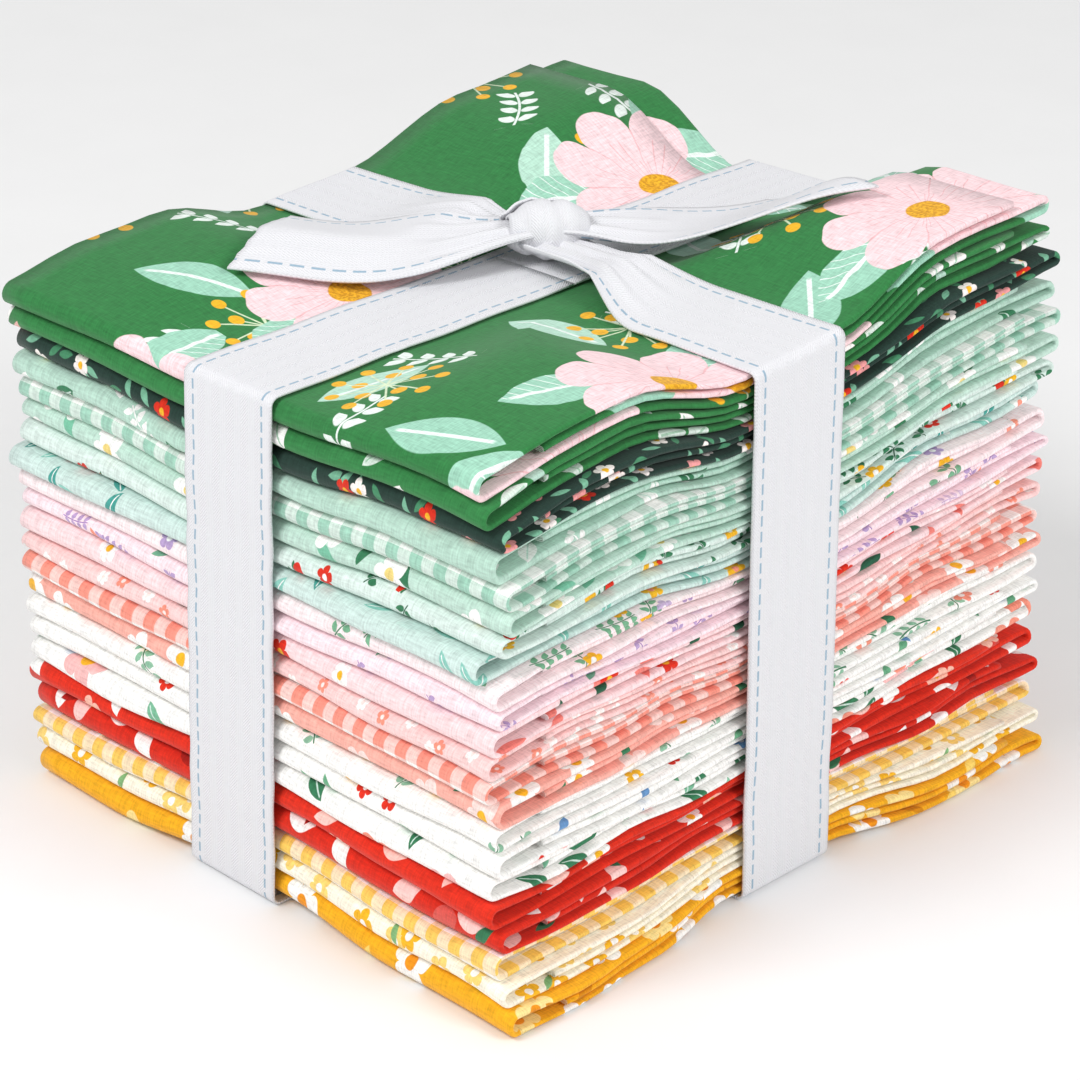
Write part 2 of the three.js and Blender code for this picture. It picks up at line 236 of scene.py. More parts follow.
def sheet_mesh(name, middle, thickness, uv, materials):
    """Closed sheet from a grid of middle points (mm): printed side in slot 0, the other side in slot 1."""
    rows, columns = middle.shape[:2]
    along = np.gradient(middle, axis=0)
    across = np.gradient(middle, axis=1)
    normal = np.cross(along, across)
    normal = normal / (np.linalg.norm(normal, axis=2, keepdims=True) + 1e-12)
    front = (middle + normal * thickness / 2).reshape(-1, 3)
    rear = (middle - normal * thickness / 2).reshape(-1, 3)
    points = np.concatenate([front, rear]) * MM
    index = np.arange(rows * columns).reshape(rows, columns)
    a, b = index[:-1, :-1].ravel(), index[:-1, 1:].ravel()
    c, d = index[1:, 1:].ravel(), index[1:, :-1].ravel()
    under = rows * columns
    flat_points = middle.reshape(-1, 3)
    rising = (flat_points[b, 0] - flat_points[a, 0]) * (flat_points[d, 1] - flat_points[a, 1]) > 0
    third, fourth = np.where(rising, c, b), np.where(rising, a, d)
    halves = np.concatenate([np.stack([a, d, third], 1), np.stack([fourth, c, b], 1)])
    faces = [halves, halves[:, ::-1] + under]
    rim = np.concatenate([index[0, :], index[1:, -1], index[-1, -2::-1], index[-2:0:-1, 0]])
    follow = np.roll(rim, -1)
    faces.append(np.stack([rim, follow, follow + under], 1))
    faces.append(np.stack([rim, follow + under, rim + under], 1))
    triangles = np.concatenate(faces)
    mesh = bpy.data.meshes.new(name)
    mesh.from_pydata(points.tolist(), [], triangles.tolist())
    layer = mesh.uv_layers.new(name="flat")
    flat = np.concatenate([uv.reshape(-1, 2), uv.reshape(-1, 2)]) * MM
    corners = np.empty(len(mesh.loops), dtype=np.int32)
    mesh.loops.foreach_get("vertex_index", corners)
    layer.data.foreach_set("uv", flat[corners].astype(np.float32).ravel())
    slots = np.zeros(len(triangles), dtype=np.int32)
    slots[len(halves):] = 1
    for material in materials:
        mesh.materials.append(material)
    mesh.polygons.foreach_set("material_index", slots)
    mesh.polygons.foreach_set("use_smooth", np.ones(len(triangles), dtype=bool))
    mesh.update()
    piece = bpy.data.objects.new(name, mesh)
    bpy.context.scene.collection.objects.link(piece)
    return piece


def cloth_points(i, front_out, side_out, seed):
    """Grid of middle points of one folded cloth, rows along its length and columns across its plies."""
    draw = random.Random(seed)
    front = -FOLD_Y / 2 - front_out
    back = FOLD_Y / 2 - 0.3 * front_out
    far = -FOLD_X / 2 - 0.6 + 0.25 * (side_out - 1)
    near = FOLD_X / 2 + side_out
    fold, v = fold_path(front, back)
    ply, u = ply_path(far, near)
    inset = [draw.uniform(0, 0.8), draw.uniform(0, 0.7), draw.uniform(0.6, 2.2)]
    run_ends = np.interp(fold[:, 4], [0, 1, 2], inset)
    kernel = np.ones(7) / 7
    run_ends = np.convolve(np.pad(run_ends, 3, mode="edge"), kernel, mode="valid")
    along = fold[:, 0][:, None]
    up = fold[:, 1][:, None] + fold[:, 3][:, None] * ply[:, 1][None, :]
    y = along + fold[:, 2][:, None] * ply[:, 1][None, :]
    x = np.broadcast_to(ply[:, 0][None, :], y.shape).copy()
    toward_near = smooth(20, near, x)
    toward_far = smooth(-20, far, x)
    toward_front = smooth(-45, front, y)
    edge_wave = ripple(seed + 1, y * 0 + 3.0, y, 0.45, 40)
    x = x - toward_near * (PULL_IN * side_out * under_ribbon(y - RIBBON_Y) + run_ends[:, None])
    x = x + toward_near * edge_wave + toward_far * ripple(seed + 2, y * 0, y, 0.4, 50)
    front_wave = ripple(seed + 3, x, y * 0, 0.35, 60)
    y = y + toward_front * (PULL_IN * front_out * under_ribbon(x - RIBBON_X) + front_wave)
    low_gap = CLOTH_GAP / 2 if i > 0 else PLY_THICK / 2
    high_gap = CLOTH_GAP / 2
    low = seam_height(i, x, y) + low_gap
    high = seam_height(i + 1, x, y) - high_gap
    share = np.clip(up / CLOTH_THICK, 0, 1)
    lean = ripple(seed + 4, x, y, 0.06, 50) * np.sin(math.pi * share)
    z = low + (high - low) * (share + lean)
    return np.stack([x, y, z], 2), np.stack(np.meshgrid(u, v), 2)


# Node helpers: every value is a socket or a plain number.
class Nodes:
    def __init__(self, material):
        self.tree = material.node_tree
        self.links = self.tree.links

    def new(self, kind, **settings):
        node = self.tree.nodes.new(kind)
        for key, value in settings.items():
            setattr(node, key, value)
        return node

    def put(self, value, socket):
        if isinstance(value, bpy.types.NodeSocket):
            self.links.new(value, socket)
        else:
            socket.default_value = value

    def math(self, operation, a, b=None, c=None, clamp=False):
        node = self.new("ShaderNodeMath", operation=operation, use_clamp=clamp)
        for value, socket in zip((a, b, c), node.inputs):
            if value is not None:
                self.put(value, socket)
        return node.outputs[0]

    def add(self, a, b):
        return self.math("ADD", a, b)

    def sub(self, a, b):
        return self.math("SUBTRACT", a, b)

    def mul(self, a, b):
        return self.math("MULTIPLY", a, b)

    def below(self, value, limit, soft):
        """1 where value is under limit, 0 above it, with a soft edge."""
        node = self.new("ShaderNodeMapRange", interpolation_type="SMOOTHSTEP")
        self.put(value, node.inputs["Value"])
        self.put(self.sub(limit, soft), node.inputs["From Min"])
        self.put(self.add(limit, soft), node.inputs["From Max"])
        node.inputs["To Min"].default_value = 1
        node.inputs["To Max"].default_value = 0
        return node.outputs[0]

    def both(self, a, b):
        return self.math("MULTIPLY", a, b)

    def either(self, a, b):
        return self.math("MAXIMUM", a, b)

    def mix(self, factor, a, b):
        node = self.new("ShaderNodeMix", data_type="RGBA")
        self.put(factor, node.inputs[0])
        self.put(a, node.inputs[6])
        self.put(b, node.inputs[7])
        return node.outputs[2]

    def flat_mm(self):
        """Coordinates on the flat cloth in millimetres, as two sockets."""
        uv = self.new("ShaderNodeUVMap", uv_map="flat")
        parts = self.new("ShaderNodeSeparateXYZ")
        self.links.new(uv.outputs[0], parts.inputs[0])
        return self.mul(parts.outputs[0], 1000), self.mul(parts.outputs[1], 1000)

    def vector(self, x, y, z=0.0):
        node = self.new("ShaderNodeCombineXYZ")
        self.put(x, node.inputs[0])
        self.put(y, node.inputs[1])
        self.put(z, node.inputs[2])
        return node.outputs[0]

    def noise(self, vector, scale, detail=2.0, rough=0.5):
        node = self.new("ShaderNodeTexNoise")
        self.put(vector, node.inputs["Vector"])
        node.inputs["Scale"].default_value = scale
        node.inputs["Detail"].default_value = detail
        node.inputs["Roughness"].default_value = rough
        return node.outputs["Fac"]

    def cells(self, x, y, size, shift, random_place=0.7):
        """Scattered places about size mm apart: local turned coordinates in mm and two chances."""
        voronoi = self.new("ShaderNodeTexVoronoi", voronoi_dimensions="2D", feature="F1")
        shift_x, shift_y = shift if isinstance(shift, tuple) else (shift * 13.7, shift * 7.3)
        moved = self.vector(self.add(x, shift_x), self.add(y, shift_y))
        self.put(moved, voronoi.inputs["Vector"])
        voronoi.inputs["Scale"].default_value = 1.0 / size
        voronoi.inputs["Randomness"].default_value = random_place
        place = self.new("ShaderNodeSeparateXYZ")
        self.links.new(voronoi.outputs["Position"], place.inputs[0])
        scaled = self.new("ShaderNodeSeparateXYZ")
        self.links.new(moved, scaled.inputs[0])
        chance = self.new("ShaderNodeSeparateXYZ")
        self.links.new(voronoi.outputs["Color"], chance.inputs[0])
        dx = self.sub(scaled.outputs[0], place.outputs[0])
        dy = self.sub(scaled.outputs[1], place.outputs[1])
        turn = self.mul(chance.outputs[0], 2 * math.pi)
        lx, ly = self.turned(dx, dy, turn)
        return lx, ly, chance.outputs[1], chance.outputs[2]

    def turned(self, x, y, angle):
        cos, sin = self.math("COSINE", angle), self.math("SINE", angle)
        return (self.add(self.mul(x, cos), self.mul(y, sin)),
                self.sub(self.mul(y, cos), self.mul(x, sin)))

    def radius(self, x, y):
        return self.math("SQRT", self.add(self.mul(x, x), self.mul(y, y)))

    def petals(self, x, y, count, reach, dip, soft):
        """Flower of that many petals; also gives the distance from its middle and the angle."""
        r = self.radius(x, y)
        angle = self.math("ARCTAN2", y, x)
        lobe = self.math("ABSOLUTE", self.math("COSINE", self.mul(angle, count / 2)))
        lobe = self.math("POWER", lobe, 0.55)
        limit = self.add(self.mul(lobe, reach * dip), reach * (1 - dip))
        return self.below(r, limit, soft), r, angle

    def leaf(self, x, y, at, length, width, soft):
        """Lens from at to at + length along x; also gives its middle rib."""
        t = self.math("DIVIDE", self.sub(x, at + length / 2), length / 2)
        limit = self.mul(self.sub(1.0, self.mul(t, t)), width / 2)
        side = self.math("ABSOLUTE", y)
        mask = self.below(side, limit, soft)
        short = self.below(self.math("ABSOLUTE", t), 0.8, 0.05)
        rib = self.both(self.below(side, width * 0.045, soft * 0.5), short)
        return mask, rib

    def folded(self, x, y, count):
        """Local coordinates repeated round the middle count times."""
        r = self.radius(x, y)
        angle = self.math("ARCTAN2", y, x)
        wedge = 2 * math.pi / count
        part = self.sub(self.math("MODULO", self.add(angle, 4 * math.pi + wedge / 2), wedge), wedge / 2)
        return self.mul(r, self.math("COSINE", part)), self.mul(r, self.math("SINE", part))


def srgb(r, g, b):
    def linear(c):
        c = c / 255
        return c / 12.92 if c <= 0.04045 else ((c + 0.055) / 1.055) ** 2.4
    return (linear(r), linear(g), linear(b), 1.0)


WHITE = srgb(250, 249, 246)


def cotton(name):
    material = bpy.data.materials.new(name)
    material.use_nodes = True
    return material, Nodes(material), material.node_tree.nodes["Principled BSDF"]


def finish_cotton(nodes, shader, colour, x, y):
    """Weave of a plain cotton: uneven threads both ways, a little sheen and a shallow bump."""
    warp = nodes.noise(nodes.vector(nodes.mul(x, 2.2), nodes.mul(y, 0.3)), 1.0, 2.0, 0.6)
    weft = nodes.noise(nodes.vector(nodes.mul(x, 0.3), nodes.mul(y, 2.2)), 1.0, 2.0, 0.6)
    weave = nodes.add(warp, weft)
    shade = nodes.add(nodes.mul(weave, 0.66), 0.34)
    tone = nodes.new("ShaderNodeMix", data_type="RGBA", blend_type="MULTIPLY")
    tone.inputs[0].default_value = 1.0
    nodes.put(colour, tone.inputs[6])
    grey = nodes.new("ShaderNodeCombineColor")
    for k in range(3):
        nodes.put(shade, grey.inputs[k])
    nodes.put(grey.outputs[0], tone.inputs[7])
    nodes.put(tone.outputs[2], shader.inputs["Base Color"])
    shader.inputs["Roughness"].default_value = 0.88
    shader.inputs["Sheen Weight"].default_value = 0.12
    shader.inputs["Sheen Roughness"].default_value = 0.5
    shader.inputs["Specular IOR Level"].default_value = 0.25
    bump = nodes.new("ShaderNodeBump")
    bump.inputs["Strength"].default_value = 0.35
    bump.inputs["Distance"].default_value = 0.00015
    nodes.put(weave, bump.inputs["Height"])
    nodes.put(bump.outputs[0], shader.inputs["Normal"])


def layer_blooms(n, x, y, ground, size, shift, reach, petal, heart, leaf, rib, petal_count=5):
    """Large flowers with leaves behind them, one at each scattered place."""
    lx, ly, _, c2 = n.cells(x, y, size, shift, 0.3)
    soft = 0.16
    wobble = n.noise(n.vector(lx, ly, c2), 0.16, 1.0)
    lx = n.add(lx, n.mul(n.sub(wobble, 0.5), 3.0))
    fx, fy = n.folded(lx, ly, 3)
    mask, line = n.leaf(fx, fy, reach * 0.5, reach * 1.05, reach * 0.56, soft)
    vein = n.math("MODULO", n.add(n.sub(fx, n.mul(n.math("ABSOLUTE", fy), 0.8)), 400.0), reach * 0.13)
    veins = n.both(n.below(vein, 0.3, 0.12), n.below(0.0, fy, 0.2))
    colour = n.mix(mask, ground, leaf)
    colour = n.mix(n.both(mask, n.either(line, veins)), colour, rib)
    flower, r, angle = n.petals(lx, ly, petal_count, reach, 0.3, soft)
    ray = n.math("COSINE", n.mul(angle, petal_count * 4.0))
    long_ray = n.add(reach * 0.5, n.mul(n.math("COSINE", n.mul(angle, petal_count)), reach * 0.16))
    rays = n.both(n.below(ray, -0.93, 0.05), n.below(r, long_ray, 0.3))
    edge = n.math("ABSOLUTE", n.math("COSINE", n.mul(angle, petal_count / 2)))
    seam = n.both(n.below(edge, 0.05, 0.02), n.below(reach * 0.2, r, 0.3))
    petal_colour = n.mix(n.mul(n.either(rays, seam), 0.7), petal, srgb(240, 176, 180))
    colour = n.mix(flower, colour, petal_colour)
    core = n.below(r, reach * 0.2, soft)
    dots = n.noise(n.vector(lx, ly), 1.1, 1.0)
    colour = n.mix(core, colour, n.mix(n.below(dots, 0.5, 0.08), heart, srgb(214, 150, 20)))
    return colour


def layer_berries(n, x, y, ground, size, shift, reach, berry, stem):
    """Round sprays of berries on thin stems."""
    lx, ly, c1, _ = n.cells(x, y, size, shift, 0.5)
    soft = 0.12
    colour = ground
    show = n.below(c1, 0.6, 0.01)
    for count, ring, dot in ((5, 0.45, 0.12), (9, 0.8, 0.11)):
        fx, fy = n.folded(lx, ly, count)
        line = n.both(n.below(n.math("ABSOLUTE", fy), 0.22, soft), n.below(fx, reach * ring, soft))
        colour = n.mix(n.both(line, show), colour, stem)
        away = n.radius(n.sub(fx, reach * ring), fy)
        colour = n.mix(n.both(n.below(away, reach * dot, soft), show), colour, berry)
    return colour


def layer_sprigs(n, x, y, ground, size, shift, reach, leaf, stem, share=1.0, bud=None, soft=0.1):
    """Short stems with paired leaves, and a bud at the tip of some."""
    lx, ly, c1, c2 = n.cells(x, y, size, shift, 0.8)
    show = n.below(c1, share, 0.01)
    bent = n.add(ly, n.mul(n.mul(lx, lx), 0.12 / reach))
    span = n.both(n.below(n.math("ABSOLUTE", lx), reach, soft), show)
    line = n.both(n.below(n.math("ABSOLUTE", bent), max(0.1, reach * 0.03), soft * 0.6), span)
    step = reach * 0.5
    along = n.sub(n.math("MODULO", n.add(lx, 8 * step), step), step / 2)
    lean = n.sub(along, n.mul(n.math("ABSOLUTE", bent), 0.5))
    side = n.sub(n.math("ABSOLUTE", bent), reach * 0.24)
    oval = n.add(n.mul(n.mul(lean, lean), 1 / (step * 0.34) ** 2),
                 n.mul(n.mul(side, side), 1 / (reach * 0.2) ** 2))
    leaves = n.both(n.below(oval, 1.0, 0.2), span)
    colour = n.mix(line, ground, stem)
    colour = n.mix(leaves, colour, leaf)
    if bud:
        away = n.radius(n.sub(lx, reach), bent)
        tip = n.both(n.below(away, reach * 0.3, soft), n.both(show, n.below(c2, 0.75, 0.01)))
        colour = n.mix(tip, colour, bud)
    return colour


def layer_tossed(n, x, y, ground, size, shift, length, width, tones, rib=None, share=1.0, soft=0.1):
    """Single leaves or petals tossed all ways, in up to three tones."""
    lx, ly, c1, c2 = n.cells(x, y, size, shift, 0.85)
    show = n.below(c1, share, 0.01)
    mask, line = n.leaf(lx, ly, -length / 2, length, width, soft)
    tone = tones[0]
    if len(tones) > 1:
        tone = n.mix(n.below(c2, 0.5, 0.01), tones[1], tones[0])
    if len(tones) > 2:
        tone = n.mix(n.below(c2, 0.2, 0.01), tone, tones[2])
    colour = n.mix(n.both(mask, show), ground, tone)
    if rib:
        colour = n.mix(n.both(n.both(mask, line), show), colour, rib)
    return colour


def layer_flowers(n, x, y, ground, size, shift, reach, tones, heart, share=1.0, count=5, soft=0.1):
    """Small flowers in up to three tones."""
    lx, ly, c1, c2 = n.cells(x, y, size, shift, 0.8)
    show = n.below(c1, share, 0.01)
    mask, r, _ = n.petals(lx, ly, count, reach, 0.45, soft)
    tone = tones[0]
    if len(tones) > 1:
        tone = n.mix(n.below(c2, 0.5, 0.01), tones[1], tones[0])
    if len(tones) > 2:
        tone = n.mix(n.below(c2, 0.22, 0.01), tone, tones[2])
    colour = n.mix(n.both(mask, show), ground, tone)
    return n.mix(n.both(n.below(r, reach * 0.3, soft), show), colour, heart)


CHECK_PITCH = 6.4


def layer_gingham(n, x, y, ground, check, pitch):
    """Even checks: full colour where stripes cross, half where one runs alone."""
    def stripe(value):
        turn = n.math("MODULO", n.add(value, 100 * pitch), pitch)
        return n.below(turn, pitch / 2, 0.12)
    amount = n.mul(n.add(stripe(x), stripe(y)), 0.5)
    return n.mix(amount, ground, check)


GREEN = srgb(46, 124, 64)
MINT = srgb(184, 217, 201)
PALE_MINT = srgb(206, 230, 219)
LEAF_GREEN = srgb(52, 122, 84)
DARK_LEAF = srgb(36, 92, 66)
PINK = srgb(250, 212, 214)
CORAL = srgb(246, 150, 128)
RED = srgb(222, 44, 20)
YELLOW = srgb(245, 184, 34)
TEAL = srgb(70, 160, 150)
BLUE = srgb(104, 150, 200)
LAVENDER = srgb(186, 160, 205)


def print_green_floral(n, x, y):
    colour = layer_tossed(n, x, y, GREEN, 46, 2.3, 26, 12, [srgb(158, 210, 186), srgb(184, 224, 204)],
                          srgb(236, 248, 242), 0.55, 0.16)
    colour = layer_sprigs(n, x, y, colour, 40, 3.1, 9.5, srgb(236, 246, 240), srgb(236, 246, 240), 0.8)
    colour = layer_berries(n, x, y, colour, 52, 5.3, 14, YELLOW, srgb(220, 236, 200))
    return layer_blooms(n, x, y, colour, 78, (39.7, 67.7), 23, srgb(250, 217, 221), YELLOW,
                        srgb(160, 212, 188), srgb(238, 249, 243), 8)


def print_green_petal(n, x, y):
    colour = layer_tossed(n, x, y, srgb(50, 128, 68), 13, 2.2, 7.5, 4.4, [WHITE, srgb(222, 236, 226)],
                          srgb(170, 205, 180), 0.8)
    return layer_tossed(n, x, y, colour, 21, 4.9, 9, 3.4, [srgb(244, 186, 176), MINT], None, 0.5)


def print_forest_ditsy(n, x, y):
    ground = srgb(33, 58, 50)
    colour = layer_tossed(n, x, y, ground, 5.2, 1.3, 4.2, 1.5,
                          [srgb(70, 138, 100), srgb(120, 180, 150)], None, 0.8)
    return layer_flowers(n, x, y, colour, 9.5, 4.4, 2.3,
                         [RED, srgb(250, 240, 236), srgb(244, 160, 160)], YELLOW, 0.85)


def print_mint_leaf(n, x, y):
    colour = layer_tossed(n, x, y, MINT, 12, 2.7, 8, 3.6, [LEAF_GREEN, WHITE], PALE_MINT, 0.85)
    return layer_sprigs(n, x, y, colour, 19, 6.1, 4.6, WHITE, WHITE, 0.7)


def print_mint_gingham(n, x, y):
    return layer_gingham(n, x, y, WHITE, srgb(160, 205, 185), CHECK_PITCH)


def print_mint_blossom(n, x, y):
    colour = layer_tossed(n, x, y, srgb(193, 222, 208), 13, 3.3, 7, 2.6,
                          [LEAF_GREEN, srgb(120, 190, 160)], None, 0.5)
    return layer_flowers(n, x, y, colour, 13, 1.1, 4.2, [WHITE], srgb(240, 214, 130), 0.9)


def print_pale_mint_sprig(n, x, y):
    colour = layer_sprigs(n, x, y, srgb(219, 235, 228), 13, 2.4, 4.6, LEAF_GREEN, DARK_LEAF, 0.7, RED)
    return layer_flowers(n, x, y, colour, 17, 5.2, 2.2, [RED, YELLOW], WHITE, 0.6)


def print_aqua_leaf(n, x, y):
    colour = layer_tossed(n, x, y, srgb(207, 228, 222), 11, 1.9, 8.5, 2.6,
                          [TEAL, srgb(140, 204, 190)], WHITE, 0.75)
    return layer_flowers(n, x, y, colour, 21, 4.3, 2.4, [YELLOW, WHITE], CORAL, 0.5)


def print_blush_leaf(n, x, y):
    colour = layer_sprigs(n, x, y, srgb(252, 234, 236), 14, 3.7, 4.8, srgb(120, 176, 140), LEAF_GREEN, 0.65)
    return layer_flowers(n, x, y, colour, 15, 1.4, 2.3, [CORAL, YELLOW, LAVENDER], WHITE, 0.65)


def print_blush_sprig(n, x, y):
    colour = layer_sprigs(n, x, y, srgb(252, 228, 234), 10.5, 5.5, 3.8, LAVENDER, srgb(160, 120, 190), 0.7)
    return layer_tossed(n, x, y, colour, 15, 2.8, 5, 1.8, [srgb(110, 170, 140), CORAL], None, 0.55)


def print_pink_leaf(n, x, y):
    colour = layer_tossed(n, x, y, srgb(251, 220, 222), 13, 4.1, 7.5, 2.7,
                          [DARK_LEAF, srgb(240, 130, 120)], None, 0.65)
    return layer_flowers(n, x, y, colour, 16, 1.8, 2.6, [WHITE, RED], YELLOW, 0.7)


def print_pink_dot(n, x, y):
    return layer_flowers(n, x, y, srgb(250, 210, 208), 6.5, 2.1, 1.5,
                         [WHITE, CORAL], srgb(252, 232, 226), 0.9)


def print_coral_gingham(n, x, y):
    return layer_gingham(n, x, y, WHITE, srgb(246, 150, 132), CHECK_PITCH)


def print_coral_blossom(n, x, y):
    colour = layer_flowers(n, x, y, srgb(248, 178, 164), 12.5, 3.9, 4.3,
                           [WHITE, srgb(252, 226, 220)], YELLOW, 0.9)
    return layer_tossed(n, x, y, colour, 17, 6.3, 6, 2.2, [LEAF_GREEN], None, 0.5)


def print_white_sprig(n, x, y):
    colour = layer_sprigs(n, x, y, WHITE, 14, 1.5, 5, srgb(140, 190, 160), LEAF_GREEN, 0.65)
    return layer_flowers(n, x, y, colour, 17, 4.7, 2.4, [YELLOW, CORAL], WHITE, 0.55)


def print_white_ditsy(n, x, y):
    colour = layer_tossed(n, x, y, WHITE, 10, 2.9, 5.4, 2.0, [BLUE, srgb(104, 170, 130)], None, 0.6)
    return layer_flowers(n, x, y, colour, 12.5, 5.8, 2.2, [YELLOW, RED, BLUE], WHITE, 0.65)


def print_white_floral(n, x, y):
    colour = layer_tossed(n, x, y, WHITE, 14, 1.2, 8, 3.2,
                          [LEAF_GREEN, srgb(120, 184, 150)], PALE_MINT, 0.7)
    return layer_flowers(n, x, y, colour, 21, 3.4, 6, [srgb(248, 190, 188), CORAL], YELLOW, 0.8)


def print_red_blossom(n, x, y):
    colour = layer_tossed(n, x, y, RED, 12.5, 4.6, 7, 3.2, [WHITE, srgb(250, 200, 190)], None, 0.7)
    return layer_flowers(n, x, y, colour, 17, 2.6, 3.2, [srgb(250, 190, 170), WHITE], YELLOW, 0.6)


def print_red_petal(n, x, y):
    colour = layer_tossed(n, x, y, srgb(216, 40, 18), 11, 1.6, 7.6, 4.2,
                          [WHITE, srgb(250, 206, 200)], None, 0.75)
    return layer_tossed(n, x, y, colour, 17, 5.9, 6.5, 2.4, [srgb(168, 22, 10), LEAF_GREEN], None, 0.5)


def print_yellow_gingham(n, x, y):
    return layer_gingham(n, x, y, WHITE, srgb(248, 204, 96), CHECK_PITCH)


def print_yellow_ditsy(n, x, y):
    colour = layer_flowers(n, x, y, srgb(252, 245, 226), 9.5, 3.6, 2.9,
                           [YELLOW, srgb(250, 214, 120)], WHITE, 0.85)
    return layer_tossed(n, x, y, colour, 13, 1.1, 4.5, 1.6, [srgb(130, 180, 120)], None, 0.5)


def print_yellow_floral(n, x, y):
    colour = layer_flowers(n, x, y, srgb(244, 176, 26), 15, 2.3, 4.8,
                           [WHITE, srgb(252, 226, 150)], srgb(240, 150, 20), 0.85)
    return layer_tossed(n, x, y, colour, 14, 4.2, 6, 2.2,
                        [srgb(252, 216, 110), srgb(214, 140, 10)], None, 0.6)


PRINTS = {
    "green_floral": print_green_floral,
    "green_petal": print_green_petal,
    "forest_ditsy": print_forest_ditsy,
    "mint_leaf": print_mint_leaf,
    "mint_gingham": print_mint_gingham,
    "mint_blossom": print_mint_blossom,
    "pale_mint_sprig": print_pale_mint_sprig,
    "aqua_leaf": print_aqua_leaf,
    "blush_leaf": print_blush_leaf,
    "blush_sprig": print_blush_sprig,
    "pink_leaf": print_pink_leaf,
    "pink_dot": print_pink_dot,
    "coral_gingham": print_coral_gingham,
    "coral_blossom": print_coral_blossom,
    "white_sprig": print_white_sprig,
    "white_ditsy": print_white_ditsy,
    "white_floral": print_white_floral,
    "red_blossom": print_red_blossom,
    "red_petal": print_red_petal,
    "yellow_gingham": print_yellow_gingham,
    "yellow_ditsy": print_yellow_ditsy,
    "yellow_floral": print_yellow_floral,
}


def cloth_materials(name):
    front, n, shader = cotton(name)
    x, y = n.flat_mm()
    colour = PRINTS[name](n, x, y)
    finish_cotton(n, shader, colour, x, y)
    back, m, back_shader = cotton(name + "_back")
    bx, by = m.flat_mm()
    back_colour = PRINTS[name](m, bx, by)
    pale = m.mix(0.45, back_colour, WHITE)
    finish_cotton(m, back_shader, pale, bx, by)
    return [front, back]


def build_cloths():
    for from_top, (name, _, front_out, side_out) in enumerate(CLOTHS):
        i = TOP_SEAM - 1 - from_top
        node = f"cloth_{from_top + 1:02d}_{name}"
        middle, uv = cloth_points(i, front_out, side_out, 1000 + 10 * from_top)
        piece = sheet_mesh(f"sheet_{from_top + 1:02d}_{name}", middle, PLY_THICK, uv, cloth_materials(name))
        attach(piece, "root")
        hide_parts(node)


# The ribbon.
TAILS = [
    dict(heading=233, length=58, bend=-3, root=7.0, tip=2.6, roll=-1.4, slant=15, arch=1.6),
    dict(heading=51, length=58, bend=3, root=7.0, tip=3.0, roll=1.0, slant=-19, arch=0.8),
]


def tape_material():
    material, n, shader = cotton("ribbon_twill")
    w, s = n.flat_mm()
    edge = n.math("ABSOLUTE", n.sub(n.math("ABSOLUTE", w), RIBBON_WIDTH / 2 - 2.6))
    turn = n.math("MODULO", n.add(s, 3600.0), 3.6)
    dash = n.both(n.below(edge, 0.26, 0.1), n.below(turn, 2.4, 0.15))
    colour = n.mix(dash, srgb(236, 236, 240), srgb(158, 186, 206))
    band = n.math("PINGPONG", n.add(w, 40.0), 2.1)
    slant = n.math("SINE", n.mul(n.add(n.mul(band, 1.4), s), 2 * math.pi / 0.8))
    cross = n.math("SINE", n.mul(w, 2 * math.pi / 0.7))
    grain = n.noise(n.vector(w, s), 2.2, 2.0)
    height = n.add(n.add(n.mul(slant, 0.6), n.mul(cross, 0.25)), grain)
    shade = n.add(n.mul(height, 0.05), 0.95)
    grey = n.new("ShaderNodeCombineColor")
    for k in range(3):
        n.put(shade, grey.inputs[k])
    tone = n.new("ShaderNodeMix", data_type="RGBA", blend_type="MULTIPLY")
    tone.inputs[0].default_value = 1.0
    n.put(colour, tone.inputs[6])
    n.put(grey.outputs[0], tone.inputs[7])
    n.put(tone.outputs[2], shader.inputs["Base Color"])
    shader.inputs["Roughness"].default_value = 0.72
    shader.inputs["Sheen Weight"].default_value = 0.1
    shader.inputs["Specular IOR Level"].default_value = 0.3
    bump = n.new("ShaderNodeBump")
    bump.inputs["Strength"].default_value = 0.5
    bump.inputs["Distance"].default_value = 0.0002
    n.put(height, bump.inputs["Height"])
    n.put(bump.outputs[0], shader.inputs["Normal"])
    return material


def loop_path(left, right, start):
    """Points s, z round the stack from start on top, towards the right side, and back."""
    low, high, r = RIBBON_THICK / 2, STACK_HEIGHT + RIBBON_SEAT, CORNER_RADIUS
    points = [(s, high) for s in np.linspace(start, right - r, 36)[:-1]]
    for a in np.radians(np.linspace(90, 0, 7))[:-1]:
        points.append((right - r + r * np.cos(a), high - r + r * np.sin(a)))
    points += [(right, z) for z in np.linspace(high - r, low + r, 22)[:-1]]
    for a in np.radians(np.linspace(0, -90, 5))[:-1]:
        points.append((right - r + r * np.cos(a), low + r + r * np.sin(a)))
    points += [(s, low) for s in np.linspace(right - r, left + r, 30)[:-1]]
    for a in np.radians(np.linspace(-90, -180, 5))[:-1]:
        points.append((left + r + r * np.cos(a), low + r + r * np.sin(a)))
    points += [(left, z) for z in np.linspace(low + r, high - r, 22)[:-1]]
    for a in np.radians(np.linspace(180, 90, 7))[:-1]:
        points.append((left + r + r * np.cos(a), high - r + r * np.sin(a)))
    points += [(s, high) for s in np.linspace(left + r, start, 36)]
    path = np.array(points)
    steps = np.hypot(np.diff(path[:, 0]), np.diff(path[:, 1]))
    return path, np.concatenate([[0], np.cumsum(steps)])


def side_waves(seed, s, z, side):
    """The tape takes a little of the shape of the folds that it lies on."""
    return ripple(seed, s * 0 + side * 4.0, z, 0.18, 22)


